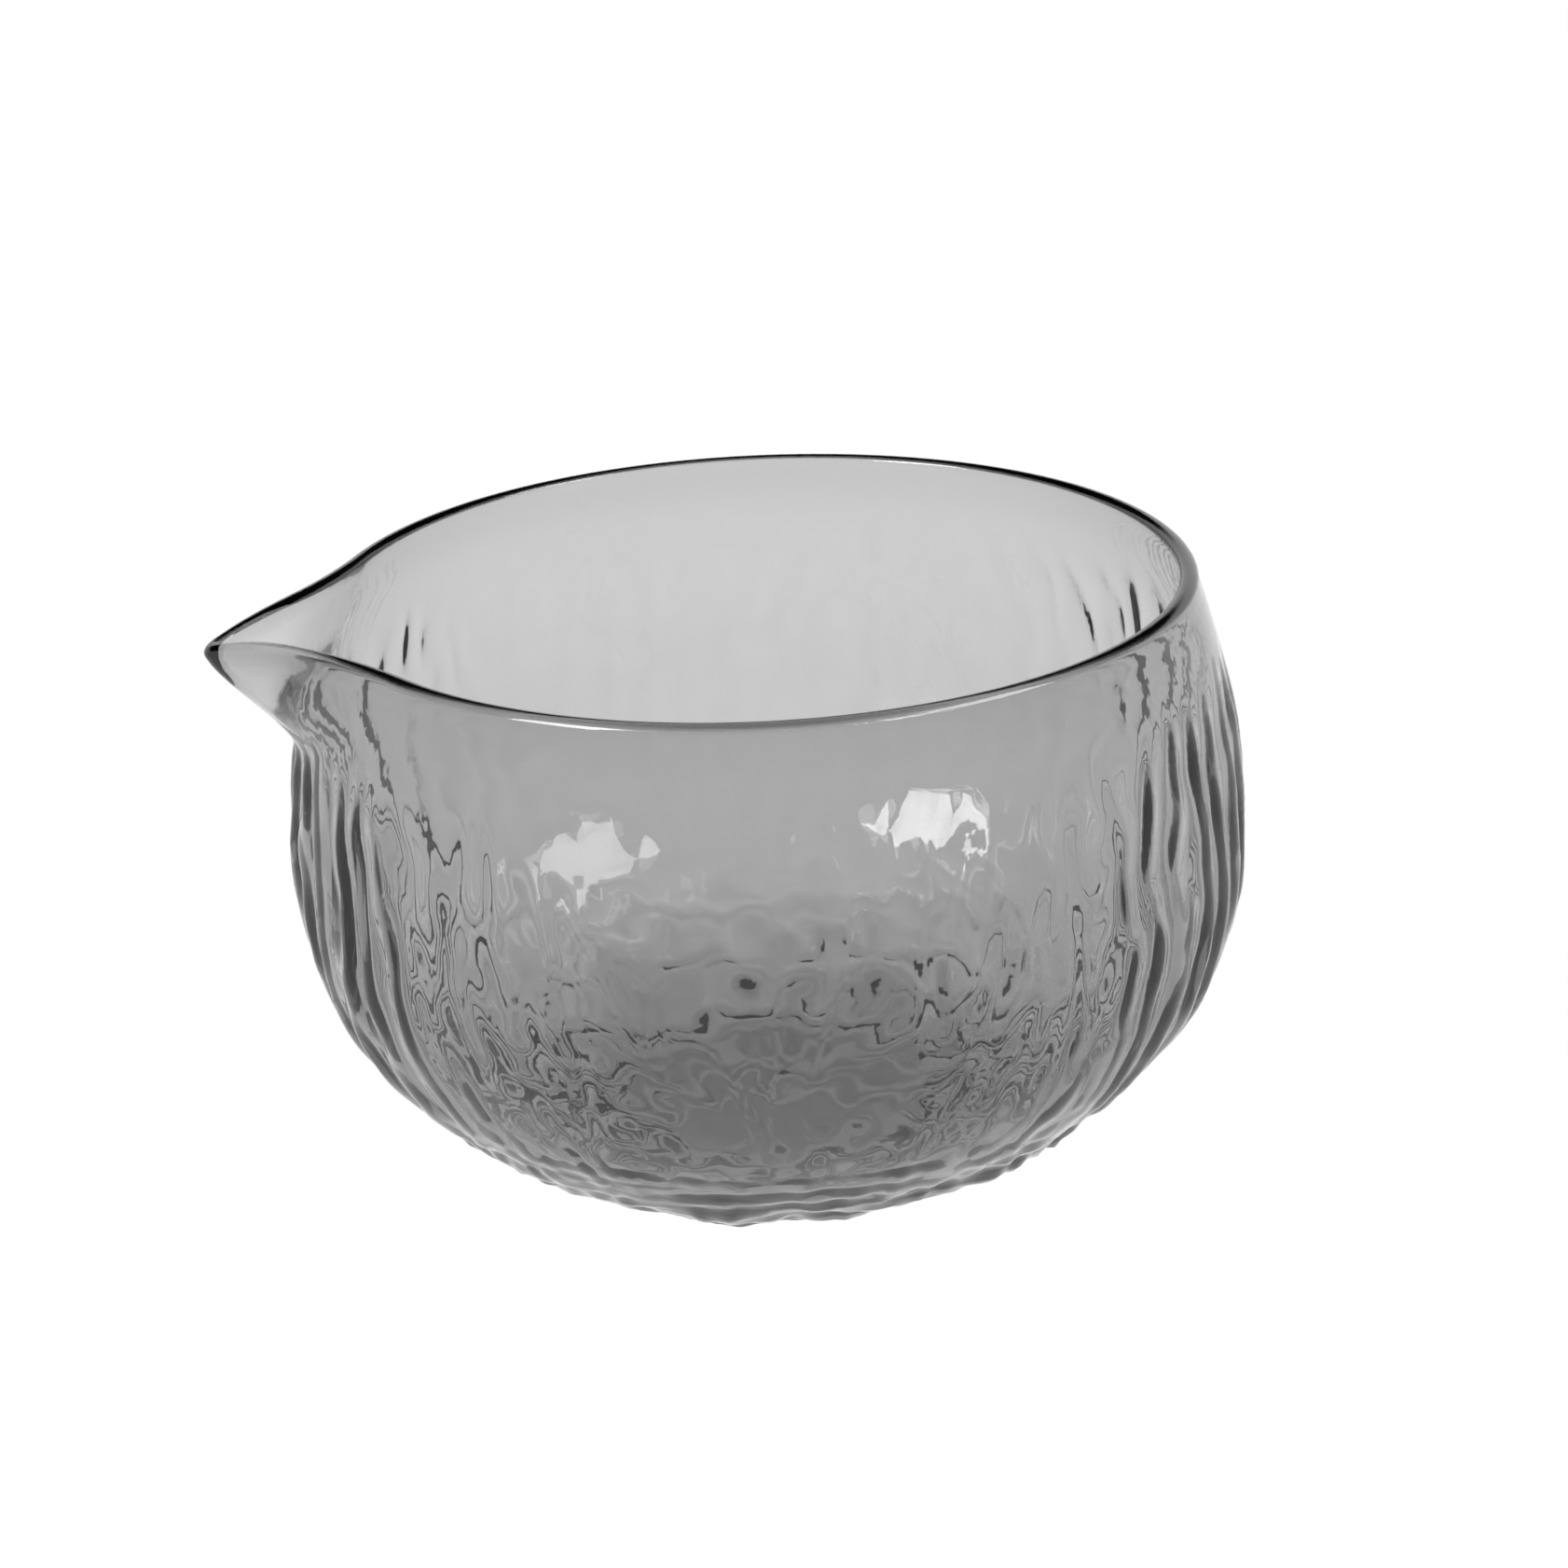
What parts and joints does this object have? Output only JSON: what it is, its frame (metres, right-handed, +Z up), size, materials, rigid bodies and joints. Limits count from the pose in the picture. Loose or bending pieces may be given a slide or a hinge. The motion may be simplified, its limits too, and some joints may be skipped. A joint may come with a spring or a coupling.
{
  "type": "mixing bowl",
  "caption": "Squat round glass mixing bowl with a rounded foot, a drawn-in mouth and one pulled pouring spout.",
  "frame": {"origin": "middle of the foot's flat, on the surface the bowl stands on, on the bowl's own axis", "axes": "+Z up along the bowl's axis, -X towards the tip of the spout, +Y across"},
  "size_m": [0.1345, 0.1256, 0.08],
  "materials": {
    "smoke_glass": "smoke-grey soda-lime glass, fire polished at the rim and spout, smooth inside, rippled outside"
  },
  "bodies": {
    "root": {"glass_bowl": "smoke_glass"}
  },
  "joints": []
}
